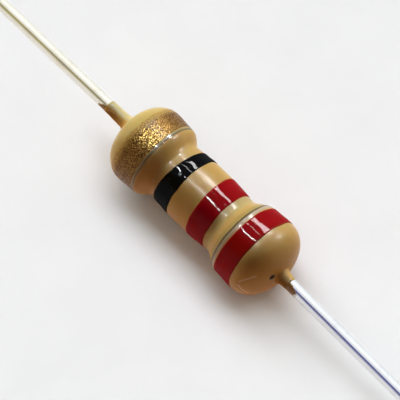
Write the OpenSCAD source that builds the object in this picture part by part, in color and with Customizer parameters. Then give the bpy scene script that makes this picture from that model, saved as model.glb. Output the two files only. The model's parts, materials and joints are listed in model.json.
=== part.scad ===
// Axial carbon-film resistor of quarter-watt size, with leads cut from 26 mm tape.
// The axis is X: the gold band lies towards -X and the two red bands lie towards +X.
// The origin is the centre of the body. Units are millimetres.
// Every piece is turned from a section drawn as [radius, place along the axis].

/* [Leads] */
// Length over both leads
overall_l = 26; // [14:0.5:62]
// Diameter of the tinned wire
lead_d = 0.38; // [0.3:0.01:0.6]
// Diameter of the weld bead that joins a lead to its cap
weld_d = 0.66; // [0.62:0.01:0.9]
// Length of the weld bead
weld_l = 0.12; // [0.06:0.01:0.16]

/* [Ceramic rod] */
// Length of the rod
core_l = 5.5; // [4.8:0.1:9]
// Diameter of the rod
core_d = 1.7; // [1.4:0.05:2.6]

/* [Carbon film] */
// Thickness of the film
film_t = 0.03; // [0.02:0.005:0.05]
// Pitch of the helical trimming groove
trim_pitch = 0.8; // [0.5:0.05:1.2]
// Width of the trimming groove
trim_w = 0.12; // [0.06:0.01:0.2]
// Plain film between a cap rim and the nearest edge of the groove
trim_margin = 0.3; // [0.1:0.05:0.5]

/* [End caps] */
// Length of the cap at the gold end
gold_cap_l = 1.23; // [1:0.01:1.4]
// Length of the cap at the red end
red_cap_l = 1.47; // [1.2:0.01:1.6]
// Wall of both pressed caps
cap_wall = 0.18; // [0.12:0.01:0.22]
// Outside radius of the corner of both caps
cap_corner = 0.4; // [0.3:0.01:0.45]
// Room between the inside corner of a cap and the chamfered end of the rod
corner_clearance = 0.02; // [0.01:0.01:0.1]

/* [Lacquer] */
// Lacquer over the side of a cap, at its thickest
cap_coat = 0.175; // [0.16:0.005:0.3]
// Lacquer over a cap at the top of its shoulder
shoulder_coat = 0.14; // [0.12:0.005:0.16]
// Lacquer over the corner of a cap
corner_coat = 0.05; // [0.03:0.005:0.08]
// Lacquer over the end face of a cap
end_coat = 0.25; // [0.2:0.01:0.35]
// Lacquer on the film in the hollow beside each cap
hollow_coat = 0.045; // [0.03:0.005:0.08]
// Lacquer on the film half way between the two hollows
waist_coat = 0.117; // [0.08:0.005:0.2]
// From the gold-end cap's rim out to the top of its shoulder
gold_shoulder_out = 0.01; // [0:0.01:0.2]
// From the gold-end cap's rim in to the foot of its shoulder
gold_shoulder_in = 0.49; // [0.3:0.01:0.6]
// From the red-end cap's rim out to the top of its shoulder
red_shoulder_out = 0.18; // [0:0.01:0.2]
// From the red-end cap's rim in to the foot of its shoulder
red_shoulder_in = 0.42; // [0.3:0.01:0.6]
// Lacquer along the gold-end lead, beyond the dome
gold_neck_l = 0.83; // [0.3:0.01:1.5]
// Lacquer along the red-end lead, beyond the dome
red_neck_l = 0.35; // [0.3:0.01:1.5]
// Lacquer on a lead beside the dome
neck_coat = 0.022; // [0.018:0.001:0.03]
// Lacquer on a lead at its outer edge
neck_edge = 0.012; // [0.01:0.001:0.015]
// Rise of the lacquer where it climbs from a dome onto its lead
neck_rise = 0.1; // [0.05:0.01:0.15]
// Distance over which that rise dies away to a third
neck_fade = 0.1; // [0.04:0.01:0.12]

/* [Colour bands] */
// Thickness of the paint
band_t = 0.03; // [0.02:0.005:0.05]
// Width of the gold band
gold_band_w = 0.69; // [0.4:0.01:0.8]
// From the gold-end cap's rim to the gold band
gold_band_gap = 0.1; // [0.05:0.01:0.2]
// Width of the black band
black_band_w = 0.61; // [0.4:0.01:0.7]
// Middle of the black band, towards the gold end from the centre
black_band_x = 0.79; // [0.5:0.01:0.8]
// Width of the inner red band
inner_red_w = 0.74; // [0.4:0.01:0.8]
// Middle of the inner red band, towards the red end from the centre
inner_red_x = 0.55; // [0.45:0.01:0.65]
// Width of the outer red band
outer_red_w = 0.68; // [0.4:0.01:0.8]
// From the red-end cap's rim to the outer red band
outer_red_gap = 0.18; // [0.1:0.01:0.2]

/* [Hidden] */
$fn = 96;

// Radii, from the inside out
lead_r = lead_d / 2;
core_r = core_d / 2;
film_r = core_r + film_t;
cap_r = film_r + cap_wall;
body_r = cap_r + cap_coat;

// Places along the axis, measured outwards from the centre
cap_face = core_l / 2 + cap_wall;
dome_tip = cap_face + end_coat;
gold_rim = cap_face - gold_cap_l;
red_rim = cap_face - red_cap_l;

// The inside corner of a pressed cap follows its outside corner, and the rod's chamfer clears it.
// The film reaches from chamfer to chamfer.
inside_corner = cap_corner - cap_wall;
core_chamfer = inside_corner + corner_clearance;
film_l = core_l - 2 * core_chamfer;

// A dome is a quarter of an ellipse. It starts where it has to, to pass over the middle of the cap's
// corner with corner_coat to spare.
corner_reach = (cap_corner + corner_coat) * cos(45);
corner_share = sqrt(1 - pow((cap_r - cap_corner + corner_reach) / body_r, 2));
dome_root = (cap_face - cap_corner + corner_reach - corner_share * dome_tip) / (1 - corner_share);
dome_l = dome_tip - dome_root;

// Each end of the lacquer: the foot and the top of the shoulder, and the end of the lacquer on the lead
GOLD_END = [gold_rim - gold_shoulder_in, gold_rim + gold_shoulder_out, dome_tip + gold_neck_l];
RED_END = [red_rim - red_shoulder_in, red_rim + red_shoulder_out, dome_tip + red_neck_l];
function foot(end) = end[0];
function top(end) = end[1];
function neck_end(end) = end[2];

// Steps along each curved stretch of the lacquer's outline
STEPS = 12;

// Curves that the outline follows
function ease(from, to, u) = from + (to - from) * (1 - cos(180 * u)) / 2;
function dome_r(x) = body_r * sqrt(max(0, 1 - pow((x - dome_root) / dome_l, 2)));
function neck_r(x, end) =
    let (out = x - dome_tip, share = out / (neck_end(end) - dome_tip))
    lead_r + neck_coat + (neck_edge - neck_coat) * share + neck_rise * exp(-out / neck_fade);
neck_root_r = lead_r + neck_coat + neck_rise;

// The lacquer's outline at one end, from the foot of the shoulder to the lead.
// extra grows its radius, for the paint that lies on it.
function end_outline(end, extra) = [
    // Shoulder, from the hollow up to the side of the cap
    for (i = [0 : STEPS])
        let (u = i / STEPS)
        [ease(film_r + hollow_coat, cap_r + shoulder_coat, u) + extra,
         foot(end) + u * (top(end) - foot(end))],
    // Side of the cap, up to its thickest
    for (i = [1 : STEPS])
        let (u = i / STEPS)
        [ease(cap_r + shoulder_coat, body_r, u) + extra, top(end) + u * (dome_root - top(end))],
    // Dome, down to where the neck stands out of it
    for (i = [1 : 2 * STEPS])
        let (x = dome_root + dome_l * sin(90 * i / 2 / STEPS))
        if (dome_r(x) > neck_root_r) [dome_r(x) + extra, x],
    // Neck, with its points closest together at the dome
    for (i = [0 : STEPS])
        let (u = i / STEPS, x = dome_tip + u * u * (neck_end(end) - dome_tip))
        [neck_r(x, end) + extra, x],
    [0, neck_end(end)]
];

// The lacquer's outline along the waist, from the red end's foot to the gold end's, without those two points
function waist_outline(extra) = [
    for (i = [1 : 2 * STEPS - 1])
        let (u = i / 2 / STEPS)
        [film_r + hollow_coat + (waist_coat - hollow_coat) * sin(180 * u) + extra,
         foot(RED_END) - u * (foot(RED_END) + foot(GOLD_END))]
];

function backwards(points) = [for (i = [len(points) - 1 : -1 : 0]) points[i]];
function mirrored(points) = [for (p = points) [p[0], -p[1]]];

module lacquer_outline(extra = 0) {
    polygon(concat(
        backwards(end_outline(RED_END, extra)),
        waist_outline(extra),
        mirrored(end_outline(GOLD_END, extra))
    ));
}

// Turns a section into a solid about the X axis. What both ends have is drawn once, at the red end, and
// at_gold_end() turns it round to face the other way.
module turned() {
    rotate([0, 90, 0]) rotate_extrude() children();
}

module at_gold_end() {
    rotate([0, 0, 180]) children();
}

module core_section() {
    half = core_l / 2;
    polygon([
        [0, -half], [core_r - core_chamfer, -half], [core_r, core_chamfer - half],
        [core_r, half - core_chamfer], [core_r - core_chamfer, half], [0, half]
    ]);
}

module film_section() {
    translate([core_r, -film_l / 2]) square([film_t, film_l]);
}

// A cup filled solid: radius r, from its open rim to its face, with a rounded corner at the face
module cup_section(r, rim, face, corner) {
    translate([0, rim]) square([r, face - corner - rim]);
    translate([0, rim]) square([r - corner, face - rim]);
    translate([r - corner, face - corner]) circle(corner);
}

module cap_section(rim) {
    difference() {
        cup_section(cap_r, rim, cap_face, cap_corner);
        cup_section(film_r, rim, cap_face - cap_wall, inside_corner);
    }
}

// A lead stands on the face of its cap, with a conical weld bead at its foot
module lead_section() {
    tip = overall_l / 2;
    polygon([
        [0, cap_face], [weld_d / 2, cap_face], [lead_r, cap_face + weld_l], [lead_r, tip], [0, tip]
    ]);
}

// All that the lacquer wraps, filled solid
module wrapped() {
    turned() translate([0, -film_l / 2]) square([film_r, film_l]);
    turned() cup_section(cap_r, red_rim, cap_face, cap_corner);
    at_gold_end() turned() cup_section(cap_r, gold_rim, cap_face, cap_corner);
    red_end_lead();
    gold_end_lead();
}

// The tool of the trimming groove: a square-sided helix, deep enough to pass through the film
TURN_STEPS = 24;
PASS = 0.02;
trim_start = trim_margin + trim_w / 2 - gold_rim;
trim_l = red_rim - trim_margin - trim_w / 2 - trim_start;

module trim_groove() {
    turns = trim_l / trim_pitch;
    count = ceil(TURN_STEPS * turns);
    corners = [
        [core_r - PASS, -trim_w / 2], [film_r + PASS, -trim_w / 2],
        [film_r + PASS, trim_w / 2], [core_r - PASS, trim_w / 2]
    ];
    points = [
        for (i = [0 : count], c = corners)
            let (turn = 360 * turns * i / count)
            [trim_start + trim_l * i / count + c[1], c[0] * cos(turn), c[0] * sin(turn)]
    ];
    sides = [
        for (i = [0 : count - 1], k = [0 : 3])
            let (a = 4 * i + k, b = 4 * i + (k + 1) % 4)
            each [[a, b, a + 4], [b, b + 4, a + 4]]
    ];
    last = 4 * count;
    ends = [[0, 2, 1], [0, 3, 2], [last, last + 1, last + 2], [last, last + 2, last + 3]];
    polyhedron(points, concat(sides, ends));
}

// A ring of paint that lies on the lacquer between two places along the axis
module paint_ring(from, to) {
    turned() difference() {
        intersection() {
            lacquer_outline(band_t);
            translate([0, from]) square([2 * body_r, to - from]);
        }
        lacquer_outline();
    }
}

module lacquer_coat() {
    color("tan") difference() {
        turned() lacquer_outline();
        wrapped();
    }
}

module gold_band() {
    edge = gold_rim + gold_band_gap;
    color("goldenrod") paint_ring(-edge - gold_band_w, -edge);
}

module black_band() {
    color([0.03, 0.03, 0.04]) paint_ring(-black_band_x - black_band_w / 2, -black_band_x + black_band_w / 2);
}

module inner_red_band() {
    color([0.66, 0.02, 0.05]) paint_ring(inner_red_x - inner_red_w / 2, inner_red_x + inner_red_w / 2);
}

module outer_red_band() {
    edge = red_rim + outer_red_gap;
    color([0.66, 0.02, 0.05]) paint_ring(edge, edge + outer_red_w);
}

module gold_end_lead() {
    color("silver") at_gold_end() turned() lead_section();
}

module red_end_lead() {
    color("silver") turned() lead_section();
}

module gold_end_cap() {
    color("gray") at_gold_end() turned() cap_section(gold_rim);
}

module red_end_cap() {
    color("gray") turned() cap_section(red_rim);
}

module ceramic_core() {
    color("white") turned() core_section();
}

module carbon_film() {
    color([0.15, 0.15, 0.15]) difference() {
        turned() film_section();
        trim_groove();
    }
}

lacquer_coat();
gold_band();
black_band();
inner_red_band();
outer_red_band();
gold_end_lead();
red_end_lead();
gold_end_cap();
red_end_cap();
ceramic_core();
carbon_film();
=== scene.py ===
# %% [markdown]
# # A quarter-watt carbon-film resistor
#
# The object is an axial resistor: a white ceramic rod with a carbon film, a pressed cap on each end, two
# tinned leads welded to the caps, a dipped coat of tan lacquer and four painted bands. The part was drawn in
# a
# CAD program, and it arrives here as a fixed frame of eleven solids. This lesson gives each visible piece the
# shape and the finish that a real one has, exactly where the solid is.
#
# The axis of the resistor is X. The gold band lies towards -X and the two red bands towards +X.

# %% Load the imported model
import json
import math

import bmesh
import bpy
from mathutils import Matrix, Vector, noise


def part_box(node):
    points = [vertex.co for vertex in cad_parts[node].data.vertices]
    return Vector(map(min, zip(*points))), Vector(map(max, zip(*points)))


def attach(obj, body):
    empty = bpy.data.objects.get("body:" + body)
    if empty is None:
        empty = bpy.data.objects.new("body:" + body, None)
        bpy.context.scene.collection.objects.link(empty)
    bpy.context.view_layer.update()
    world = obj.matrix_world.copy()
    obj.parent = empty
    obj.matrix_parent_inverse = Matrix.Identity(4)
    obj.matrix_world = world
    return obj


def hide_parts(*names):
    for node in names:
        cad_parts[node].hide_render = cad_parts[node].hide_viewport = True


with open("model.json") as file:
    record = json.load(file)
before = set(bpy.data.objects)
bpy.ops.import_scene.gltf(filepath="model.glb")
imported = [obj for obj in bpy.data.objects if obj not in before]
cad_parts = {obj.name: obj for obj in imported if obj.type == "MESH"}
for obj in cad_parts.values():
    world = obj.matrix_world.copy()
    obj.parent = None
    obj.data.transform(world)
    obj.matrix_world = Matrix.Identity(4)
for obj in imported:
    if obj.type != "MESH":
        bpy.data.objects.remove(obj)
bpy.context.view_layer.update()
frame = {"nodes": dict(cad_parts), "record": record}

print("solids in the frame:", ", ".join(sorted(frame["nodes"])))

# %% [markdown]
# ## Measures
#
# Blender works in metres, and the body of this object is about as big as a grain of rice, so the shapes below
# are worked out in millimetres and made metres at the very end. Wherever a measure can be read from the CAD
# solids it is, so that a longer rod or a thicker wire there moves the pieces here too.

# %% Read the main measures from the solids
MM = 0.001


def reach(node):
    """First and last place of a solid along the axis, in millimetres."""
    low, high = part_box(node)
    return low.x / MM, high.x / MM


def girth(node):
    """Largest radius of a solid about the axis, in millimetres."""
    low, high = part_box(node)
    return (high.y - low.y) / 2 / MM


wire_r = frame["record"]["mounts"][0]["dims"]["r_mm"]
film_r = girth("carbon_film")
cap_r = girth("gold_end_cap")
body_r = girth("lacquer_coat")
gold_rim = reach("gold_end_cap")[1]
red_rim = reach("red_end_cap")[0]
cap_face = reach("red_end_cap")[1]
gold_tip, red_tip = reach("gold_end_lead")[0], reach("red_end_lead")[1]
gold_neck, red_neck = reach("lacquer_coat")
print(f"wire {wire_r:.3f}, film {film_r:.3f}, cap {cap_r:.3f} and body {body_r:.3f} mm in radius")
print(f"rims at {gold_rim:.2f} and {red_rim:.2f}, necks end at {gold_neck:.2f} and {red_neck:.2f} mm")

# %% [markdown]
# ## The outline of the lacquer
#
# The coat is dipped, so its outline is a string of soft curves: a shallow waist over the film, a shoulder
# that climbs over the rim of each cap, a round dome over the cap's end, and a thin neck where the lacquer ran
# along the wire. Each stretch has a curve that suits it: a raised sine for the waist, a cosine ease for a
# shoulder, and a quarter of an oval for a dome. One function that gives the radius at any place keeps them
# all together, and the paint can use it again later.

# %% The radius of the lacquer at any place along the axis
hollow_r, waist_r, shoulder_r = film_r + 0.045, film_r + 0.117, cap_r + 0.14
gold_foot, gold_top = gold_rim + 0.49, gold_rim - 0.01
red_foot, red_top = red_rim - 0.42, red_rim + 0.18
dome_tip = cap_face + 0.25
dome_root = 2.328
gold_roundness, red_roundness = 2.15, 2.25
neck_coat, neck_taper = 0.014, 0.011
gold_flare, red_flare, flare_length = 0.1, 0.07, 0.09


def ease(start, end, share):
    """Goes from start to end with no corner at either."""
    return start + (end - start) * (1 - math.cos(math.pi * share)) / 2


def neck_radius(out, length, flare):
    """The thin lacquer on a wire, out millimetres beyond the dome's tip."""
    return wire_r + neck_coat - neck_taper * out / length + flare * math.exp(-out / flare_length)


def coat_radius(x):
    """Radius of the lacquer's skin at x, before any ripple."""
    if gold_foot <= x <= red_foot:
        share = (x - gold_foot) / (red_foot - gold_foot)
        return hollow_r + (waist_r - hollow_r) * math.sin(math.pi * share)
    at_red = x > 0
    foot, top, end = (red_foot, red_top, red_neck) if at_red else (-gold_foot, -gold_top, -gold_neck)
    x = abs(x)
    if x <= top:
        return ease(hollow_r, shoulder_r, (x - foot) / (top - foot))
    if x <= dome_root:
        return ease(shoulder_r, body_r, (x - top) / (dome_root - top))
    share = min((x - dome_root) / (dome_tip - dome_root), 1)
    roundness = red_roundness if at_red else gold_roundness
    dome = body_r * math.sqrt(1 - share**roundness)
    out = max(x - dome_tip, 0)
    neck = neck_radius(out, end - dome_tip, red_flare if at_red else gold_flare)
    return max(dome, neck)


for name, x in (("waist", 0), ("gold shoulder", gold_top), ("dome root", dome_root)):
    print(f"lacquer at the {name}: radius {coat_radius(x):.3f} mm")

# %% [markdown]
# ## Ripples, rims and marks
#
# Dipped lacquer is never a perfect turning. It sags a little, it carries fine ripples that make long
# reflections wander, and the edge of each cap shows through it as a low ridge. Two small formulas give all of
# these their form. Perlin noise from mathutils is a smooth random wave, the same in each run, and a bell
# curve is a soft ridge or dent.

# %% A wave, a bell and a distance
def wave(point, length, height, seed):
    """A smooth random wave: its length and height are in millimetres."""
    return height * noise.noise(point / length + Vector((seed, 2.7 * seed, -seed)))


def bell(distance, width):
    """1 at no distance, and nearly nothing beyond two widths."""
    return math.exp(-((distance / width) ** 2))


def near_line(point, start, end):
    """Distance from a point to the line between start and end."""
    along = end - start
    share = max(0, min(1, (point - start).dot(along) / along.length_squared))
    return (point - start - along * share).length


print(f"a bell is {bell(1, 1):.2f} high at one width and {bell(2, 1):.2f} at two")

# %% [markdown]
# ### The marks of this resistor
#
# This one has a pit and three short scratches on its red end. Like the ripples they are real shape, at most a
# few hundredths of a millimetre deep, so they go into the mesh: a function tells how far the skin stands
# above its outline at any point. A scratch is a line on the skin as if it were unrolled flat. Painted bands
# lie on the same skin, so they call the same function.

# %% How far the skin stands above its outline
ripples = ((1.3, 0.012, 1.0), (0.42, 0.004, 5.0), (0.21, 0.0022, 9.0))  # length, height and seed of each
fade_length = 0.3
gold_ridge, red_ridge, groove_step = gold_rim - 0.045, red_rim + 0.05, 0.05
ridge_height, groove_depth, ridge_width = 0.0035, 0.005, 0.03
pit_at, pit_size, pit_depth = Vector((3.11, -0.34, 0.336)), 0.07, 0.03
marks_from, scratch_depth, scratch_width = 2.3, 0.009, 0.022
unroll_r = 1.1


def unroll(x, angle):
    """A place on the skin laid out flat: along the body, and round it in millimetres."""
    return Vector((x, angle * unroll_r, 0))


scratches = [
    (unroll(x1, math.radians(angle1)), unroll(x2, math.radians(angle2)))
    for x1, angle1, x2, angle2 in ((2.6, -71, 2.88, -51), (2.6, -79, 2.86, -100), (2.54, -92, 2.79, -108))
]


def skin_lift(point):
    """Height of ripples, ridges and marks at a point of the skin."""
    lift = sum(wave(point, *ripple) for ripple in ripples)
    for ridge, step in ((gold_ridge, groove_step), (red_ridge, -groove_step)):
        lift += ridge_height * bell(point.x - ridge, ridge_width)
        lift -= groove_depth * bell(point.x - ridge - step, ridge_width)
    if point.x > marks_from:
        lift -= pit_depth * bell((point - pit_at).length, pit_size)
        for start, end in scratches:
            flat = unroll(point.x, math.atan2(point.y, point.z))
            lift -= scratch_depth * bell(near_line(flat, start, end), scratch_width)
    # The ripples die away along the thin necks.
    return lift * max(0, min(1, (dome_tip + fade_length / 2 - abs(point.x)) / fade_length))


print(f"a pit {pit_depth} mm deep and {len(scratches)} scratches {scratch_depth} mm deep")

# %% [markdown]
# ## The wires are not quite straight
#
# The leads of a resistor are bent in handling. The gold-end lead leaves its dome a little to one side, and
# the red-end lead leans. The same small offset moves both a wire and the neck of lacquer that grips it, so
# they can't come apart.

# %% How far a wire's middle lies off the axis
bend_from, bend_length = 2.9, 0.4
gold_lead_aside, gold_lead_lean = 0.052, 0.01
red_lead_lean, red_lead_drop = 0.012, 0.3


def lead_offset(x):
    """Sideways and upward offset of a wire's middle at x."""
    out = max(0, abs(x) - bend_from)
    if x < 0:
        aside = gold_lead_aside * min(1, out / bend_length) - gold_lead_lean * max(0, out - bend_length)
        return Vector((0, aside, 0))
    return Vector((0, -red_lead_lean * out, -red_lead_drop * red_lead_lean * out))


print("offset at the tips:", tuple(round(v, 3) for v in lead_offset(gold_tip) + lead_offset(red_tip)))

# %% [markdown]
# ## Turning a section into a piece
#
# Every piece of a resistor is round about one axis, so each one is drawn as a section and spun. The Spin
# operator is the natural tool. A full spin is given use_merge, so that its last step joins its first, and
# points that lie on the axis are merged into one pole. A spun shape can come out inside out, so its normals
# are recalculated.

# %% Spin, resample and keep a piece
def spin_section(section, closed, around):
    """A mesh turned about the X axis from a section of (place, radius) points."""
    bm = bmesh.new()
    corners = [bm.verts.new((x, 0, r)) for x, r in section]
    following = corners[1:] + (corners[:1] if closed else [])
    edges = [bm.edges.new(pair) for pair in zip(corners, following)]
    bmesh.ops.spin(
        bm, geom=corners + edges, cent=(0, 0, 0), axis=(1, 0, 0), angle=math.tau, steps=around, use_merge=True
    )
    bmesh.ops.remove_doubles(bm, verts=bm.verts, dist=1e-5)
    bmesh.ops.recalc_face_normals(bm, faces=bm.faces)
    return bm


def even_steps(points, step):
    """The same line with its points about one step apart, measured along the line."""
    lengths = [0.0]
    for (xa, ra), (xb, rb) in zip(points, points[1:]):
        lengths.append(lengths[-1] + math.hypot(xb - xa, rb - ra))
    count = max(2, round(lengths[-1] / step))
    even, i = [], 0
    for k in range(count + 1):
        wanted = lengths[-1] * k / count
        while i < len(lengths) - 2 and lengths[i + 1] < wanted:
            i += 1
        share = (wanted - lengths[i]) / max(lengths[i + 1] - lengths[i], 1e-9)
        (xa, ra), (xb, rb) = points[i], points[i + 1]
        even.append((xa + (xb - xa) * share, ra + (rb - ra) * share))
    return even


def keep_piece(bm, name, stands_for):
    """Scales a finished mesh to metres, shades it smooth and gives it its place in the frame."""
    bmesh.ops.scale(bm, vec=(MM, MM, MM), verts=bm.verts)
    mesh = bpy.data.meshes.new(name)
    bm.to_mesh(mesh)
    bm.free()
    mesh.shade_smooth()
    piece = bpy.data.objects.new(name, mesh)
    bpy.context.scene.collection.objects.link(piece)
    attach(piece, "root")
    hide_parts(stands_for)
    print(f"{name}: {len(mesh.vertices)} points, {len(mesh.polygons)} faces")
    return piece


print("a line of 1 mm in steps of 0.25 mm:", even_steps([(0, 1), (1, 1)], 0.25))

# %% [markdown]
# ## The lacquer coat
#
# The coat could be a filled solid, since nobody sees the inside, but a real coat has a wall, and the model is
# also kept as a mesh of its own. So its section is a closed ring: the skin on the outside, and inside it the
# shape that the lacquer wraps, which is the film, the caps, the weld beads and the wires. After the spin,
# only the points of the skin are moved by the ripples.

# %% Turn the lacquer coat
around, skin_step = 208, 0.032
skin_slack = 0.001
weld_r, weld_length, cap_corner = 0.33, 0.12, 0.4
fine_steps = 4000
places = [gold_neck + (red_neck - gold_neck) * i / fine_steps for i in range(fine_steps + 1)]
skin_line = even_steps([(x, coat_radius(x)) for x in places], skin_step)


def cap_inside(rim, sign):
    """The outside of a cap as the lacquer meets it, from the wire to the film."""
    weld = [(sign * (cap_face + weld_length), wire_r), (sign * cap_face, weld_r)]
    middle_x, middle_r = cap_face - cap_corner, cap_r - cap_corner
    corner = [
        (sign * (middle_x + cap_corner * math.cos(turn)), middle_r + cap_corner * math.sin(turn))
        for turn in (math.radians(angle) for angle in range(0, 91, 15))
    ]
    return weld + corner + [(rim, cap_r), (rim, film_r)]


inner_line = [(red_neck, wire_r), *cap_inside(red_rim, 1)]
inner_line += [*reversed(cap_inside(gold_rim, -1)), (gold_neck, wire_r)]
coat = spin_section(skin_line + inner_line, True, around)
for vert in coat.verts:
    radius = math.hypot(vert.co.y, vert.co.z)
    if radius > coat_radius(vert.co.x) - skin_slack:
        vert.co += Vector((0, vert.co.y, vert.co.z)) / radius * skin_lift(vert.co)
    vert.co += lead_offset(vert.co.x)
lacquer_body = keep_piece(coat, "lacquer_body", "lacquer_coat")

# %% [markdown]
# ## The painted bands
#
# Paint is wiped on as the body turns against a wheel, so its edges are nearly true circles that wander a
# little and slant from one side of the body to the other. Each band is a closed ring of paint: a section that
# follows the lacquer's outline, with round shoulders, is spun, and then every point is slid along the axis as
# its edge wanders and set back onto the rippled skin.

# %% Two helpers that turn a ring of paint
paint_step, paint_sunk, paint_under = 0.026, 0.002, 0.008
edge_wander, edge_waves = 0.016, 2.5


def paint_ring(name, stands_for, start, end, thick, ripple, start_ramp=0.05, end_ramp=0.05):
    """A ring of paint. start and end tell where its two edges lie at an angle about the axis."""
    low, high = start(0), end(0)
    steps = max(12, round((high - low) / paint_step))
    places = [low + (high - low) * i / steps for i in range(steps + 1)]

    def height(x):
        rise = min(1, (x - low) / start_ramp, (high - x) / end_ramp)
        return thick * math.sqrt(max(0, 1 - (1 - rise) ** 2)) - paint_sunk

    over = [(x, coat_radius(x) + height(x)) for x in places]
    under = [(x, coat_radius(x) - paint_under) for x in reversed(places)]
    bm = spin_section(over + under, True, around)
    for vert in bm.verts:
        x, angle = vert.co.x, math.degrees(math.atan2(vert.co.y, vert.co.z))
        stand = math.hypot(vert.co.y, vert.co.z) - coat_radius(x)
        share = (x - low) / (high - low)
        x = start(angle) + (end(angle) - start(angle)) * share
        turn = math.radians(angle)
        on_skin = Vector((x, coat_radius(x) * math.sin(turn), coat_radius(x) * math.cos(turn)))
        radius = coat_radius(x) + skin_lift(on_skin) + stand
        if stand > 0:
            radius += wave(on_skin, length=0.3, height=ripple, seed=13.0)
        vert.co = Vector((x, radius * math.sin(turn), radius * math.cos(turn)))
    return keep_piece(bm, name, stands_for)


def wandering_edge(middle, slant, slant_angle, seed):
    """An edge that slants from side to side of the body and wanders by about a hundredth of a millimetre."""

    def edge(angle):
        turn = math.radians(angle)
        rim = Vector((math.cos(turn), math.sin(turn), seed))
        slanted = middle + slant * math.cos(turn - math.radians(slant_angle))
        return slanted + edge_wander * noise.noise(rim * edge_waves)

    return edge


trial = wandering_edge(0, 0.05, 90, 1.0)
print(f"an edge that slants by 0.05 mm: {trial(90):+.3f} mm on one side, {trial(270):+.3f} mm on the other")

# %% [markdown]
# ### The four bands in their places
#
# Where each band lies is read from its solid, and the slant of each edge is its own. The black and red paints
# are thick enough to stand proud with a short, round shoulder. The gold is wiped on thinner and runs out
# towards the dome, so its shoulder on that side is a long one.

# %% Turn the four bands
black_start, black_end = reach("black_band")
inner_start, inner_end = reach("inner_red_band")
outer_start, outer_end = reach("outer_red_band")
gold_start, gold_end = reach("gold_band")
paint, gold_paint = 0.016, 0.01
black_ring = paint_ring(
    "black_ring", "black_band",
    wandering_edge(black_start + 0.055, 0.084, 70, 1.0),
    wandering_edge(black_end - 0.018, 0.01, 200, 2.0),
    thick=paint, ripple=0.013,
)
inner_red_ring = paint_ring(
    "inner_red_ring", "inner_red_band",
    wandering_edge(inner_start + 0.045, 0.052, 250, 3.0),
    wandering_edge(inner_end - 0.012, 0.026, 230, 4.0),
    thick=paint, ripple=0.004,
)
outer_red_ring = paint_ring(
    "outer_red_ring", "outer_red_band",
    wandering_edge(outer_start + 0.01, 0.03, 10, 5.0),
    wandering_edge(outer_end + 0.01, 0.01, 60, 6.0),
    thick=paint, ripple=0.004,
)
gold_ring = paint_ring(
    "gold_ring", "gold_band",
    wandering_edge(gold_start - 0.1, 0.01, 40, 7.0),
    wandering_edge(gold_end + 0.02, 0.015, 260, 8.0),
    thick=gold_paint, ripple=0.0, start_ramp=0.25, end_ramp=0.06,
)

# %% [markdown]
# ## The leads
#
# A lead is tinned copper wire, welded butt-on to its cap with a small cone of weld, and sheared from the tape
# at its far end. A shear leaves a slightly rolled edge, so the section ends in three short chamfers instead
# of a sharp corner. The wire is one long turned piece with a ring of points every quarter of a millimetre,
# enough to lean.

# %% Turn the two leads
wire_rings, wire_around = 40, 48
sheared = 0.06
chamfers = ((0.02, 0.012), (0.004, 0.04), (0, 0.07))  # how far before the tip, and how much thinner


def turn_lead(name, stands_for, tip, sign):
    """A wire with its weld bead inside the coat and a sheared tip."""
    length = abs(tip)
    start = cap_face + weld_length
    section = [(cap_face, 0), (cap_face, weld_r), (cap_face + 0.03, weld_r - 0.03)]
    section += [(start + (length - sheared - start) * i / wire_rings, wire_r) for i in range(wire_rings + 1)]
    section += [(length - back, wire_r - depth) for back, depth in chamfers] + [(length, 0)]
    bm = spin_section([(sign * x, r) for x, r in section], False, wire_around)
    for vert in bm.verts:
        unsteady = wave(vert.co, length=1.6, height=0.004, seed=3.0)
        unsteady *= min(1, max(0, abs(vert.co.x) - dome_tip))
        vert.co += lead_offset(vert.co.x) + Vector((0, unsteady, unsteady * 0.5))
    return keep_piece(bm, name, stands_for)


gold_wire = turn_lead("gold_end_wire", "gold_end_lead", gold_tip, -1)
red_wire = turn_lead("red_end_wire", "red_end_lead", red_tip, 1)

# %% [markdown]
# ## Building materials from nodes
#
# Each finish is procedural: noise and simple measures of place feed one Principled shader. A few helpers keep
# the lines short: one adds any node, and the others add the kinds that are needed most.

# %% Small helpers for nodes
def swatch(red, green, blue):
    """A colour as it is read off a paint swatch, 0 to 255 for each part, made linear for the shader."""
    parts = [part / 255 for part in (red, green, blue)]
    linear = [part / 12.92 if part <= 0.04045 else ((part + 0.055) / 1.055) ** 2.4 for part in parts]
    return (*linear, 1.0)


def feed(tree, node, inputs):
    """Gives a node its inputs. Each is a plain value or the output of another node."""
    for name, value in inputs.items():
        if isinstance(value, bpy.types.NodeSocket):
            tree.links.new(value, node.inputs[name])
        else:
            node.inputs[name].default_value = value


def add(tree, kind, inputs=None, **settings):
    """Adds a node with its settings and inputs."""
    made = tree.nodes.new(kind)
    for name, value in settings.items():
        setattr(made, name, value)
    feed(tree, made, inputs or {})
    return made


def calc(tree, operation, *values):
    """One step of arithmetic."""
    return add(tree, "ShaderNodeMath", dict(enumerate(values)), operation=operation).outputs[0]


def blend(tree, share, first, second):
    """Mixes two colours by a share from 0 to 1."""
    return add(tree, "ShaderNodeMix", {0: share, 6: first, 7: second}, data_type="RGBA").outputs[2]


def remap(tree, value, low, high, new_low=0.0, new_high=1.0):
    """Carries a value from one range to another with a soft start and end."""
    inputs = {"Value": value, "From Min": low, "From Max": high, "To Min": new_low, "To Max": new_high}
    return add(tree, "ShaderNodeMapRange", inputs, interpolation_type="SMOOTHSTEP").outputs["Result"]


def vector_step(tree, operation, first, second):
    """One step of vector arithmetic, as a node."""
    return add(tree, "ShaderNodeVectorMath", {0: first, 1: second}, operation=operation)


def scaled(tree, vector, factor):
    """A vector made longer or shorter."""
    inputs = {0: vector, "Scale": factor}
    return add(tree, "ShaderNodeVectorMath", inputs, operation="SCALE").outputs["Vector"]


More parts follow.
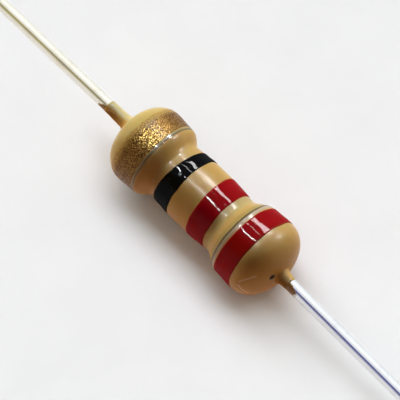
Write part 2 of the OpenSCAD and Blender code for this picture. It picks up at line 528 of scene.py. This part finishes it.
def axes_of(tree, vector):
    """The X, Y and Z of a vector, each by itself."""
    return add(tree, "ShaderNodeSeparateXYZ", {0: vector}).outputs


print(f"a swatch of 128 is {swatch(128, 128, 128)[0]:.3f} in linear light")

# %% [markdown]
# ### Places, groups and materials
#
# Effects that more than one material needs are shader node groups with named inputs and outputs. They work in
# millimetres on Object coordinates, so a pattern has its true size and stays still on the piece.

# %% Helpers for places, groups and materials
def place_mm(tree):
    """The place on the piece, in millimetres."""
    return scaled(tree, add(tree, "ShaderNodeTexCoord").outputs["Object"], 1 / MM)


def noise_of(tree, vector, per_mm, detail=2.0, roughness=0.5):
    """Soft noise with that many waves to the millimetre."""
    inputs = {"Vector": vector, "Scale": per_mm, "Detail": detail, "Roughness": roughness}
    return add(tree, "ShaderNodeTexNoise", inputs).outputs["Fac"]


def new_group(name, inputs, outputs):
    """An empty shader group. Inputs are name: (kind, value), outputs are name: kind."""
    tree = bpy.data.node_groups.new(name, "ShaderNodeTree")
    for label, (kind, value) in inputs.items():
        socket = tree.interface.new_socket(name=label, in_out="INPUT", socket_type="NodeSocket" + kind)
        socket.default_value = value
    for label, kind in outputs.items():
        tree.interface.new_socket(name=label, in_out="OUTPUT", socket_type="NodeSocket" + kind)
    return tree, tree.nodes.new("NodeGroupInput").outputs, tree.nodes.new("NodeGroupOutput")


def use(tree, group, **inputs):
    """Places a group in a material, with its own values. Spaces in an input's name are written as _."""
    spaced = {name.replace("_", " "): value for name, value in inputs.items()}
    return add(tree, "ShaderNodeGroup", spaced, node_tree=group).outputs


def new_material(name):
    """A material with a bare Principled shader, and its tree."""
    made = bpy.data.materials.new(name)
    made.use_nodes = True
    return made, made.node_tree, made.node_tree.nodes["Principled BSDF"]


def bump(tree, height):
    """The normal of a surface with this height, in millimetres."""
    return add(tree, "ShaderNodeBump", {"Height": height, "Distance": MM, "Strength": 1.0}).outputs["Normal"]


print("shader groups so far:", len(bpy.data.node_groups))

# %% [markdown]
# ### A group for the gloss of dipped and wiped coats
#
# Lacquer and paint both dry with orange peel: ripples too fine for the mesh. The group gives their height in
# millimetres and a roughness that changes slowly over the surface, so that a highlight is crisp in one place
# and softer in the next.

# %% Make the coat-gloss group
coat_gloss, wanted, given = new_group(
    "coat_gloss",
    {
        "Ripple Height": ("Float", 0.0006),
        "Ripples Per Mm": ("Float", 6.0),
        "Least Roughness": ("Float", 0.08),
        "Most Roughness": ("Float", 0.2),
    },
    {"Height": "Float", "Roughness": "Float"},
)
where = place_mm(coat_gloss)
peel = add(
    coat_gloss, "ShaderNodeTexNoise",
    {"Vector": where, "Scale": wanted["Ripples Per Mm"], "Detail": 2.0, "Roughness": 0.45},
).outputs["Fac"]
height = calc(coat_gloss, "MULTIPLY", calc(coat_gloss, "SUBTRACT", peel, 0.5), wanted["Ripple Height"])
patches = remap(coat_gloss, noise_of(coat_gloss, where, 1.7, 3.0), 0.35, 0.65)
spread = calc(coat_gloss, "SUBTRACT", wanted["Most Roughness"], wanted["Least Roughness"])
rough = calc(coat_gloss, "MULTIPLY_ADD", patches, spread, wanted["Least Roughness"])
feed(coat_gloss, given, {"Height": height, "Roughness": rough})
print("coat_gloss:", len(coat_gloss.nodes), "nodes")

# %% [markdown]
# ### A group for a ring about the body
#
# Where a cap's edge shows through, and where paint thins out at its edge, the colour changes at a place along
# the axis. The group gives a mask that is 1 within half a width of that place and fades over a soft edge,
# with an outline that wanders a little.

# %% Make the ring group
ring_mask, wanted, given = new_group(
    "ring_mask",
    {
        "Place": ("Float", 0.0),
        "Half Width": ("Float", 0.03),
        "Softness": ("Float", 0.02),
        "Wander": ("Float", 0.01),
    },
    {"Mask": "Float"},
)
where = place_mm(ring_mask)
stray = calc(ring_mask, "MULTIPLY", calc(ring_mask, "SUBTRACT", noise_of(ring_mask, where, 2.2), 0.5), 2.0)
stray = calc(ring_mask, "MULTIPLY", stray, wanted["Wander"])
off = calc(ring_mask, "SUBTRACT", axes_of(ring_mask, where)["X"], wanted["Place"])
off = calc(ring_mask, "ABSOLUTE", calc(ring_mask, "ADD", off, stray))
outer = calc(ring_mask, "ADD", wanted["Half Width"], wanted["Softness"])
feed(ring_mask, given, {"Mask": remap(ring_mask, off, wanted["Half Width"], outer, 1.0, 0.0)})
print("ring_mask:", len(ring_mask.nodes), "nodes")

# %% [markdown]
# ### A group for a scratch
#
# A scratch is a short line on the skin. The group lays the skin out flat, takes the line's two ends there,
# drops each point onto the line, and compares the distance with half the scratch's width.

# %% Make the scratch group
scratch_mask, wanted, given = new_group(
    "scratch_mask",
    {"Start": ("Vector", (0, 0, 0)), "End": ("Vector", (1, 0, 0)), "Half Width": ("Float", 0.02)},
    {"Mask": "Float"},
)
axes = axes_of(scratch_mask, place_mm(scratch_mask))
unrolled = calc(scratch_mask, "MULTIPLY", calc(scratch_mask, "ARCTAN2", axes["Y"], axes["Z"]), unroll_r)
where = add(scratch_mask, "ShaderNodeCombineXYZ", {"X": axes["X"], "Y": unrolled}).outputs[0]
line = vector_step(scratch_mask, "SUBTRACT", wanted["End"], wanted["Start"]).outputs["Vector"]
from_start = vector_step(scratch_mask, "SUBTRACT", where, wanted["Start"]).outputs["Vector"]
across = vector_step(scratch_mask, "DOT_PRODUCT", from_start, line).outputs["Value"]
whole = vector_step(scratch_mask, "DOT_PRODUCT", line, line).outputs["Value"]
share = add(scratch_mask, "ShaderNodeClamp", {0: calc(scratch_mask, "DIVIDE", across, whole)}).outputs[0]
gap = vector_step(scratch_mask, "DISTANCE", from_start, scaled(scratch_mask, line, share)).outputs["Value"]
inner = calc(scratch_mask, "MULTIPLY", wanted["Half Width"], 0.4)
feed(scratch_mask, given, {"Mask": remap(scratch_mask, gap, inner, wanted["Half Width"], 1.0, 0.0)})
print("scratch_mask:", len(scratch_mask.nodes), "nodes")

# %% [markdown]
# ### Tan lacquer
#
# The lacquer is an opaque tan with a mottled colour. Towards the gold end it is tinted yellower, a painted
# tint for the whiter light that falls on that dome, and in the groove beside the outer red band it is painted
# paler, a painted soft reflection. It is marked by a grey-green line where the edge of each cap nearly shows
# through, and beside the gold cap's line lies a dark brown one, painted shade in the groove there. Each line
# is a ring mask that blends its own tone into the tan.

# %% Mottle the lacquer and draw the rim lines
lacquer, tree, shader = new_material("tan_lacquer")
where = place_mm(tree)
axes = axes_of(tree, where)
along = axes["X"]
mottle = remap(tree, noise_of(tree, where, 1.4, 4.0, 0.6), 0.3, 0.7)
colour = blend(tree, mottle, swatch(204, 152, 80), swatch(210, 161, 92))
# The gold end is tinted yellower: a painted tint for the whiter light that falls on that dome.
colour = blend(tree, remap(tree, along, -2.3, -2.6, 0.0, 0.9), colour, swatch(207, 169, 98))
rims = 0.0
for place, half_width, softness, share, tone in (
    (gold_ridge, 0.014, 0.03, 0.75, swatch(138, 126, 86)),
    # Painted shade: the dark brown line at the gold rim lies in the groove there.
    (gold_rim, 0.01, 0.035, 0.65, swatch(66, 40, 18)),
    # Painted soft reflection: the paler tone in the groove at the foot of the red shoulder.
    (red_foot - 0.02, 0.12, 0.12, 0.6, swatch(203, 173, 114)),
    (red_rim - 0.02, 0.05, 0.09, 0.35, swatch(140, 128, 66)),
    (red_rim + 0.14, 0.03, 0.035, 0.55, swatch(196, 178, 168)),
    (red_rim + 0.06, 0.017, 0.03, 0.85, swatch(60, 52, 32)),
):
    line = use(tree, ring_mask, Place=place, Half_Width=half_width, Softness=softness, Wander=0.02)["Mask"]
    colour = blend(tree, calc(tree, "MULTIPLY", line, share), colour, tone)
    if half_width < 0.05:
        rims = calc(tree, "MAXIMUM", rims, line)
print("tan and rim lines:", len(tree.nodes), "nodes")

# %% [markdown]
# ### Lacquer on the wires, and the marks
#
# Over the wires the lacquer is thin and browner. The side that faces the side lamp is painted pale cream, a
# painted highlight, and the side turned from it browner, partly lacquer that has pooled there and partly
# painted shade. The pit is painted nearly black, and the bare scratches are paler than the skin.

# %% Colour the necks, the pit and the scratches
pit_core, pit_edge = 0.055, 0.125
out = calc(tree, "SUBTRACT", calc(tree, "ABSOLUTE", along), dome_tip)
on_wire = remap(tree, out, -0.12, 0.12)
# The neck is painted pale cream on the side facing the side lamp, a painted highlight, and browner on the
# other side, partly pooled lacquer and partly painted shade.
uneven = calc(tree, "MULTIPLY_ADD", noise_of(tree, where, 9.0), 0.1, axes["Y"])
pooled_and_shaded = remap(tree, uneven, 0.09, 0.025)
at_red = calc(tree, "GREATER_THAN", along, 0.0)
pale = blend(tree, at_red, swatch(218, 184, 128), swatch(222, 166, 92))
brown = blend(tree, at_red, swatch(226, 158, 78), swatch(188, 134, 60))
colour = blend(tree, on_wire, colour, blend(tree, pooled_and_shaded, pale, brown))
# The pit is painted nearly black.
pit_gap = vector_step(tree, "DISTANCE", where, tuple(pit_at)).outputs["Value"]
in_pit = remap(tree, pit_gap, pit_core, pit_edge, 1.0, 0.0)
colour = blend(tree, in_pit, colour, swatch(20, 8, 2))
for start, end in scratches:
    scratched = use(tree, scratch_mask, Start=tuple(start), End=tuple(end), Half_Width=0.042)["Mask"]
    colour = blend(tree, calc(tree, "MULTIPLY", scratched, 0.85), colour, swatch(240, 205, 160))
feed(tree, shader, {"Base Color": colour})
print("with the marks:", len(tree.nodes), "nodes")

# %% [markdown]
# ### The gloss and depth of the lacquer
#
# It dries glossier on the rim lines and in the two feet of the waist, where it gathers, so the Coat is
# strongest there. It also has a little depth: light that enters comes out nearby, warmer than it went in,
# which is what subsurface scattering does.

# %% Give the lacquer its gloss
least_coat, rim_coat, foot_coat = 0.018, 0.36, 0.06
gloss = use(
    tree, coat_gloss, Ripple_Height=0.003, Ripples_Per_Mm=5.0, Least_Roughness=0.28, Most_Roughness=0.38
)
dull = calc(tree, "MAXIMUM", on_wire, in_pit)
coat = calc(tree, "MULTIPLY_ADD", rims, rim_coat, least_coat)
for place in (gold_foot + 0.1, red_foot - 0.05):
    gathered = use(tree, ring_mask, Place=place, Half_Width=0.1, Softness=0.2, Wander=0.1)["Mask"]
    coat = calc(tree, "MULTIPLY_ADD", gathered, foot_coat, coat)
coat = calc(tree, "MULTIPLY", coat, calc(tree, "SUBTRACT", 1.0, in_pit))
feed(tree, shader, {
    "Roughness": calc(tree, "MULTIPLY_ADD", dull, 0.35, gloss["Roughness"]),
    "Normal": bump(tree, gloss["Height"]),
    "Specular IOR Level": 0.1,
    "Coat Weight": coat,
    "Coat Roughness": 0.1,
    "Subsurface Weight": 0.3,
    "Subsurface Radius": (1.0, 0.45, 0.18),
    "Subsurface Scale": 0.12 * MM,
})
lacquer_body.data.materials.append(lacquer)
print("tan_lacquer:", len(tree.nodes), "nodes")

# %% [markdown]
# ### Black and red paint
#
# The paints are the same gloss enamel in two colours. Where it is thin at its edges the colour under it warms
# it slightly, and a few specks of dust dull it. The black paint also carries one pale grey spot, a painted
# reflection.

# %% Mix the two enamels
def enamel(name, deep, bright, edges, painted_reflection_at=(0, 0, 0)):
    """A gloss paint, thin at its edges, with a painted reflection: a pale grey spot, none if its place lies
    inside.
    """
    made, tree, shader = new_material(name)
    where = place_mm(tree)
    cloud = remap(tree, noise_of(tree, where, 2.0, 3.0), 0.3, 0.7)
    colour = blend(tree, cloud, deep, bright)
    thin = 0.0
    for edge in edges:
        mask = use(tree, ring_mask, Place=edge, Half_Width=0.015, Softness=0.05, Wander=0.02)["Mask"]
        thin = calc(tree, "MAXIMUM", mask, thin)
    colour = blend(tree, calc(tree, "MULTIPLY", thin, 0.12), colour, swatch(150, 100, 50))
    # A pale grey spot painted round one place: a painted reflection.
    painted_reflection_gap = vector_step(tree, "DISTANCE", where, painted_reflection_at).outputs["Value"]
    colour = blend(tree, remap(tree, painted_reflection_gap, 0.02, 0.07, 0.6, 0.0), colour, swatch(190, 192, 190))
    speck = remap(tree, noise_of(tree, where, 14.0, 1.0), 0.70, 0.76)
    gloss = use(
        tree, coat_gloss, Ripple_Height=0.0015, Ripples_Per_Mm=5.5, Least_Roughness=0.3, Most_Roughness=0.4
    )
    colour = blend(tree, calc(tree, "MULTIPLY", speck, 0.12), colour, swatch(150, 140, 135))
    feed(tree, shader, {
        "Base Color": colour,
        "Roughness": calc(tree, "MULTIPLY_ADD", speck, 0.25, gloss["Roughness"]),
        "Normal": bump(tree, gloss["Height"]),
        "Specular IOR Level": 0.0,
        "Coat Weight": 0.11,
        "Coat Roughness": 0.05,
    })
    print(name + ":", len(tree.nodes), "nodes")
    return made


# The black paint's pale grey spot, a painted reflection, sits at this place.
black_edges, painted_reflection_place = (black_start, black_end), (-0.75, -0.24, 0.94)
black_enamel = enamel("black_enamel", swatch(3, 3, 5), swatch(6, 6, 9), black_edges, painted_reflection_place)
black_ring.data.materials.append(black_enamel)
red_edges = (inner_start, inner_end, outer_start, outer_end)
red_enamel = enamel("red_enamel", swatch(158, 3, 9), swatch(166, 5, 12), red_edges)
inner_red_ring.data.materials.append(red_enamel)
outer_red_ring.data.materials.append(red_enamel)

# %% [markdown]
# ### Gold paint
#
# Tolerance gold is brass flake in a brown binder. Each flake is a tiny mirror that lies at its own small
# angle, so one flashes while its neighbour is dark. Voronoi cells give the flakes: the random colour of a
# cell tilts the normal inside it. Towards the dome the flakes thin out and the lacquer shows between them.

# %% Mix the gold
flakes_per_mm, flake_lean = 64.0, 0.65
gold, tree, shader = new_material("gold_flake_paint")
where = place_mm(tree)
flake = add(tree, "ShaderNodeTexVoronoi", {"Vector": where, "Scale": flakes_per_mm, "Randomness": 1.0})
chance = add(tree, "ShaderNodeSeparateColor", {0: flake.outputs["Color"]}).outputs
lean = vector_step(tree, "SUBTRACT", flake.outputs["Color"], (0.5, 0.5, 0.5)).outputs["Vector"]
face = add(tree, "ShaderNodeNewGeometry").outputs["Normal"]
tilted = vector_step(tree, "ADD", face, scaled(tree, lean, flake_lean)).outputs["Vector"]
tilted = add(tree, "ShaderNodeVectorMath", {0: tilted}, operation="NORMALIZE").outputs["Vector"]
spread = remap(tree, axes_of(tree, where)["X"], gold_start - 0.09, gold_start + 0.3)
clumps = calc(tree, "MULTIPLY", calc(tree, "SUBTRACT", noise_of(tree, where, 3.5, 3.0), 0.5), 1.1)
cover = calc(tree, "ADD", spread, clumps)
binder = blend(tree, remap(tree, cover, 0.15, 0.9), swatch(206, 156, 80), swatch(96, 40, 5))
chosen = calc(tree, "SUBTRACT", calc(tree, "MULTIPLY_ADD", cover, 0.36, 0.2), chance["Red"])
has_flake = remap(tree, chosen, -0.1, 0.0)
tone = blend(tree, chance["Green"], swatch(94, 46, 8), swatch(192, 148, 74))
feed(tree, shader, {
    "Base Color": blend(tree, has_flake, binder, tone),
    "Metallic": calc(tree, "MULTIPLY", has_flake, 0.5),
    "Roughness": calc(tree, "MULTIPLY_ADD", chance["Blue"], 0.15, 0.26),
    "Normal": tilted,
    "Specular IOR Level": 0.06,
    "Coat Weight": 0.04,
    "Coat Roughness": 0.12,
})
gold_ring.data.materials.append(gold)
print("gold_flake_paint:", len(tree.nodes), "nodes")

# %% [markdown]
# ### Drawn, plated metal
#
# Wires and caps are both plated with tin. A wire is drawn through a die, which leaves faint lines along it,
# and a cap is pressed, which leaves lines round it. One group makes both: it stretches noise along the axis
# or across it, and gives a colour, a roughness and a height.

# %% Make the plated-metal group
plated, wanted, given = new_group(
    "plated_metal",
    {
        "Tone": ("Color", (0.8, 0.8, 0.78, 1)),
        "Stain": ("Color", (0.5, 0.48, 0.45, 1)),
        "Stretch": ("Vector", (0.5, 20.0, 20.0)),
        "Least Roughness": ("Float", 0.15),
        "Line Height": ("Float", 0.0004),
    },
    {"Color": "Color", "Roughness": "Float", "Height": "Float"},
)
where = place_mm(plated)
stretched = vector_step(plated, "MULTIPLY", where, wanted["Stretch"]).outputs["Vector"]
lines = noise_of(plated, stretched, 1.0, 3.0)
stains = remap(plated, noise_of(plated, where, 1.6, 4.0, 0.6), 0.48, 0.75)
rough = calc(plated, "MULTIPLY_ADD", lines, 0.12, wanted["Least Roughness"])
feed(plated, given, {
    "Color": blend(plated, calc(plated, "MULTIPLY", stains, 0.35), wanted["Tone"], wanted["Stain"]),
    "Roughness": calc(plated, "MULTIPLY_ADD", stains, 0.1, rough),
    "Height": calc(plated, "MULTIPLY", lines, wanted["Line Height"]),
})
print("plated_metal:", len(plated.nodes), "nodes")

# %% [markdown]
# ### Wires and caps
#
# The tin looks warmer on the gold-end wire than on the other one, so each wire has a tone of its own. A
# little lacquer has run on past each neck, along one side of the wire. It is a tongue of colour on the tin,
# matt and no metal, because it is too thin to be a shape.

# %% Finish the wires and caps
drawn_lines, pressed_lines = (0.5, 22, 22), (18, 0.6, 0.6)


def plated_material(name, tone, stain, stretch, least_roughness, metallic=1.0, neck_end=0.0):
    """Tin plate with its own tone and lines. Lacquer has run past neck_end along its side."""
    made, tree, shader = new_material(name)
    finish = use(tree, plated, Tone=tone, Stain=stain, Stretch=stretch, Least_Roughness=least_roughness)
    where = place_mm(tree)
    axes = axes_of(tree, where)
    run = calc(tree, "MULTIPLY_ADD", noise_of(tree, where, 8.0), 0.4, neck_end)
    run = calc(tree, "ADD", run, remap(tree, axes["Y"], 0.02, -0.16, -0.3, 0.2))
    past = calc(tree, "SUBTRACT", calc(tree, "ABSOLUTE", axes["X"]), run)
    resin = remap(tree, past, -0.06, 0.04, 1.0, 0.0)
    feed(tree, shader, {
        "Base Color": blend(tree, resin, finish["Color"], swatch(178, 126, 50)),
        "Metallic": calc(tree, "MULTIPLY_ADD", resin, -metallic, metallic),
        "Roughness": calc(tree, "MULTIPLY_ADD", resin, 0.2, finish["Roughness"]),
        "Normal": bump(tree, finish["Height"]),
    })
    print(name + ":", len(tree.nodes), "nodes")
    return made


def dress(node, material):
    """Puts a material on a CAD solid that stays."""
    slots = frame["nodes"][node].data.materials
    slots.clear()
    slots.append(material)


for wire, name, tone, stain, neck_end in (
    (gold_wire, "tinned_wire_warm", swatch(254, 249, 236), swatch(230, 216, 176), 3.9),
    (red_wire, "tinned_wire_cool", swatch(246, 247, 250), swatch(212, 211, 224), 3.5),
):
    wire.data.materials.append(plated_material(name, tone, stain, drawn_lines, 0.08, 0.78, neck_end))
cap_plate = plated_material(
    "tin_plated_cap", swatch(208, 208, 204), swatch(150, 146, 138), pressed_lines, 0.28
)
dress("gold_end_cap", cap_plate)
dress("red_end_cap", cap_plate)

# %% [markdown]
# ### The rod and its film
#
# These two are hidden under the lacquer, but they come into view when the model is taken apart. The rod is
# unglazed ceramic, faintly speckled and dead matt. The film is carbon baked onto it, grey-black with a dull
# sheen.

# %% Finish the rod and the film
def grainy(name, light, dark, per_mm, roughness, grain):
    """A matt surface with a fine grain in two tones."""
    made, tree, shader = new_material(name)
    where = place_mm(tree)
    tone = remap(tree, noise_of(tree, where, per_mm, 4.0, 0.65), 0.35, 0.65)
    pits = noise_of(tree, where, per_mm * 3, 3.0)
    feed(tree, shader, {
        "Base Color": blend(tree, tone, dark, light),
        "Roughness": calc(tree, "MULTIPLY_ADD", pits, 0.15, roughness),
        "Normal": bump(tree, calc(tree, "MULTIPLY", pits, grain)),
    })
    print(name + ":", len(tree.nodes), "nodes")
    return made


dress("ceramic_core", grainy("bare_ceramic", swatch(240, 238, 230), swatch(222, 218, 206), 9.0, 0.7, 0.004))
dress("carbon_film", grainy("baked_carbon", swatch(66, 66, 70), swatch(44, 44, 48), 7.0, 0.38, 0.002))

# %% [markdown]
# ## Floor
#
# The resistor lies on plain pale card. Its red shoulder and the leaning wire touch the card while the other
# end stands clear, so the card is tilted by 2.4 degrees under the part, which itself stays level with its
# frame. The card is far larger than the view.

# %% Lay the card
tilt = math.radians(2.4)
touch_x, touch_r = 2.2, body_r + paint
card_z = -touch_r - touch_x * math.tan(tilt)
card = bmesh.new()
bmesh.ops.create_grid(card, x_segments=40, y_segments=40, size=500)
bmesh.ops.rotate(card, cent=(0, 0, 0), matrix=Matrix.Rotation(-tilt, 3, "Y"), verts=card.verts)
bmesh.ops.translate(card, vec=(0, 0, card_z), verts=card.verts)
bmesh.ops.scale(card, vec=(MM, MM, MM), verts=card.verts)
card_mesh = bpy.data.meshes.new("card")
card.to_mesh(card_mesh)
card.free()
floor = bpy.data.objects.new("card", card_mesh)
bpy.context.scene.collection.objects.link(floor)
card_paper, tree, shader = new_material("pale_card")
fibre = remap(tree, noise_of(tree, place_mm(tree), 0.5, 6.0, 0.6), 0.3, 0.7)
paper = blend(tree, fibre, swatch(239, 239, 239), swatch(242, 242, 242))
ray = add(tree, "ShaderNodeLightPath").outputs
paper = blend(tree, ray["Is Diffuse Ray"], paper, swatch(208, 174, 144))
feed(tree, shader, {"Base Color": paper, "Roughness": 0.9, "Specular IOR Level": 0.1})
card_mesh.materials.append(card_paper)
print(f"card {-card_z:.3f} mm under the axis at the middle")

# %% [markdown]
# ## Lamps
#
# The light is that of a studio with long tubes overhead, laid along the resistor, which is why its gloss
# shows thin bright streaks along the body. Each lamp is given the direction it shines from, its size, and its
# brightness as seen in a reflection. A streak lies where the skin mirrors the lamp into the camera, so the
# place of a tube is worked out from the place of its streak.

# %% Two helpers that hang a lamp
view_elevation, view_azimuth = math.radians(65.1), math.radians(46.9)
to_camera = Vector((
    math.sin(view_azimuth) * math.cos(view_elevation),
    -math.cos(view_azimuth) * math.cos(view_elevation),
    math.sin(view_elevation),
))


def streak_direction(swing):
    """Where a tube hangs, if its streak is seen on the side turned swing / 2 degrees from the camera."""
    turned = Matrix.Rotation(math.radians(-swing), 3, "X") @ to_camera
    return -turned.x, turned.y, turned.z


def hang_lamp(name, direction, distance, long, wide, brightness, colour=(1, 1, 1)):
    """A rectangular lamp aimed at the body, its long side along the resistor. Sizes are in millimetres."""
    direction = Vector(direction).normalized()
    data = bpy.data.lights.new(name, "AREA")
    data.shape, data.size, data.size_y = "RECTANGLE", long * MM, wide * MM
    data.energy = brightness * math.pi * data.size * data.size_y
    data.color = colour
    lamp = bpy.data.objects.new(name, data)
    bpy.context.scene.collection.objects.link(lamp)
    side = (Vector((1, 0, 0)) - direction * direction.x).normalized()
    turn = Matrix((side, direction.cross(side), direction)).transposed()
    lamp.matrix_world = Matrix.Translation(direction * distance * MM) @ turn.to_4x4()
    print(f"{name}: {brightness} bright, {data.energy * 1000:.1f} mW")
    return lamp


print("direction of the camera:", tuple(round(v, 3) for v in to_camera))

# %% [markdown]
# ### The lamps in their places
#
# Each lamp has one task. The tubes and the lamps for flakes, wires and dome show only as reflections. A wide
# lamp to one side and a lamp at the gold end model the body from light to dark and aren't reflected. The card
# has a sky and two lamps of its own, all far off, so that it is evenly lit right to its edges.

# %% Hang the lamps
near, far, tube_length = 150, 1500, 56
tubes = [
    hang_lamp(name, streak_direction(swing), near, tube_length, wide, brightness)
    for name, swing, wide, brightness in (
        ("broad_tube", 59, 28, 105),
        ("thin_tube", 37, 3, 105),
        ("near_tube", 15, 7, 260),
    )
]
flake_lamp = hang_lamp("flake_lamp", streak_direction(48), near, 90, 70, 25, (0.94, 1.2, 1.55))
dome_lamp = hang_lamp("dome_lamp", (0.28, 0.8, 0.53), near, 50, 35, 70)
wire_lamp = hang_lamp("wire_lamp", (0, 0.64, 0.77), near, 300, 150, 0.3)
for lamp in (*tubes, flake_lamp, wire_lamp, dome_lamp):
    lamp.visible_diffuse = False
side_lamp = hang_lamp("side_lamp", (-0.28, 0.78, 0.55), near, 110, 80, 9.0, (0.87, 1.08, 1.18))
end_lamp = hang_lamp("end_lamp", (-0.97, -0.17, 0.15), near, 80, 80, 6.2, (0.95, 1.08, 1.0))
card_lamp, card_twin = (
    hang_lamp(name, (-0.38, 0.285, 0.88), far, 3000, 800, brightness, (0.95, 1.02, 1.12))
    for name, brightness in (("card_lamp", 1.35), ("card_twin", 2.0))
)
card_sky = hang_lamp("card_sky", (0, 0, 1), far, 4000, 4000, 0.5, (1.0, 0.94, 0.8))
for lamp in (side_lamp, end_lamp, card_lamp, card_twin, card_sky):
    lamp.visible_glossy = False

# %% [markdown]
# ### Which pieces each lamp lights
#
# Light linking keeps each lamp to its task: the pieces that it lights, or doesn't, are listed in a
# collection. The card's two lamps hang in one place and share out the shadows of the wires. Neither is shaded
# by the gold-end wire, which stands well clear of the card. One isn't shaded by the red-end wire either, so
# that its shadow is faint.

# %% Link the lamps
def list_pieces(name, pieces, how):
    """A list for light linking: these pieces alone (INCLUDE), or all but these (EXCLUDE)."""
    listed = bpy.data.collections.new(name)
    for piece in pieces:
        listed.objects.link(piece)
    for entry in listed.collection_objects:
        entry.light_linking.link_state = how
    return listed


def link_lamp(lamp, pieces, how):
    """Says which pieces a lamp lights."""
    lamp.light_linking.receiver_collection = list_pieces(lamp.name + "_lights", pieces, how)


for lamp in (card_lamp, card_twin, card_sky):
    link_lamp(lamp, [floor], "INCLUDE")
for lamp in (side_lamp, end_lamp):
    link_lamp(lamp, [floor], "EXCLUDE")
for lamp in tubes:
    link_lamp(lamp, [floor, gold_ring, gold_wire, red_wire], "EXCLUDE")
link_lamp(flake_lamp, [gold_ring], "INCLUDE")
link_lamp(wire_lamp, [gold_wire, red_wire], "INCLUDE")
link_lamp(dome_lamp, [lacquer_body], "INCLUDE")
for lamp, shadeless in ((card_lamp, [gold_wire]), (card_twin, [gold_wire, red_wire])):
    lamp.light_linking.blocker_collection = list_pieces(lamp.name + "_shadows", shadeless, "EXCLUDE")
print("lists for light linking:", len(bpy.data.collections))

# %% [markdown]
# ## World
#
# A camera ray that misses everything sees pale paper. A reflection sees the same pale surround all round,
# except for one dark strip on the near side, which gives each bright wire the dark line that runs along it.
# Where the two wires mirror it the strip is olive for the gold end and blue for the red end, and elsewhere it
# is grey. The light that fills the shadows is dim and warm.

# %% Set up the world
strip_y, strip_half_width, strip_fades_out = -0.57, 0.13, 0.38
split_x, split_soft, tint_half_width, tint_fades_out = -0.31, 0.015, 0.16, 0.24
world = bpy.data.worlds.new("studio")
world.use_nodes = True
bpy.context.scene.world = world
tree = world.node_tree
tree.nodes.clear()
path = add(tree, "ShaderNodeLightPath").outputs
sky = axes_of(tree, add(tree, "ShaderNodeTexCoord").outputs["Generated"])
from_strip = calc(tree, "ABSOLUTE", calc(tree, "SUBTRACT", sky["Y"], strip_y))
in_strip = remap(tree, from_strip, strip_half_width, strip_fades_out, 1.0, 0.0)
in_strip = calc(tree, "MULTIPLY", path["Is Glossy Ray"], in_strip)
red_side = remap(tree, sky["X"], split_x - split_soft, split_x + split_soft)
strip_tone = blend(tree, red_side, swatch(176, 164, 0), swatch(10, 40, 164))
from_split = calc(tree, "ABSOLUTE", calc(tree, "SUBTRACT", sky["X"], split_x))
untinted = remap(tree, from_split, tint_half_width, tint_fades_out)
strip_tone = blend(tree, untinted, strip_tone, swatch(120, 120, 124))
room = blend(tree, in_strip, swatch(242, 242, 242), strip_tone)
seen_share = calc(tree, "MAXIMUM", path["Is Camera Ray"], path["Is Transmission Ray"])
seen_share = calc(tree, "MAXIMUM", seen_share, path["Is Glossy Ray"])
fill = add(tree, "ShaderNodeBackground", {"Color": (1.0, 0.62, 0.42, 1), "Strength": 0.05}).outputs[0]
pale = add(tree, "ShaderNodeBackground", {"Color": room, "Strength": 1.0}).outputs[0]
mixed = add(tree, "ShaderNodeMixShader", {0: seen_share, 1: fill, 2: pale}).outputs[0]
add(tree, "ShaderNodeOutputWorld", {"Surface": mixed})
print("world:", len(tree.nodes), "nodes")

# %% [markdown]
# ## Camera
#
# The view looks down at the resistor from above its red end, with a long lens, so that the body is hardly
# drawn in perspective. The aim is set a little off the middle of the body, in millimetres across the view.

# %% Place the camera
distance, view_width = 159, 11.26
aim_right, aim_up = -0.132, 0.020
camera_data = bpy.data.cameras.new("camera")
camera_data.lens = camera_data.sensor_width * distance / view_width
camera_data.clip_start, camera_data.clip_end = 0.01, 5
camera = bpy.data.objects.new("camera", camera_data)
bpy.context.scene.collection.objects.link(camera)
view_right = Vector((math.cos(view_azimuth), math.sin(view_azimuth), 0))
view_up = to_camera.cross(view_right)
turn = Matrix((view_right, view_up, to_camera)).transposed()
aim = view_right * aim_right + view_up * aim_up
camera.matrix_world = Matrix.Translation((aim + to_camera * distance) * MM) @ turn.to_4x4()
bpy.context.scene.camera = camera
bpy.context.scene.view_settings.view_transform = "Standard"
print(f"lens {camera_data.lens:.0f} mm")
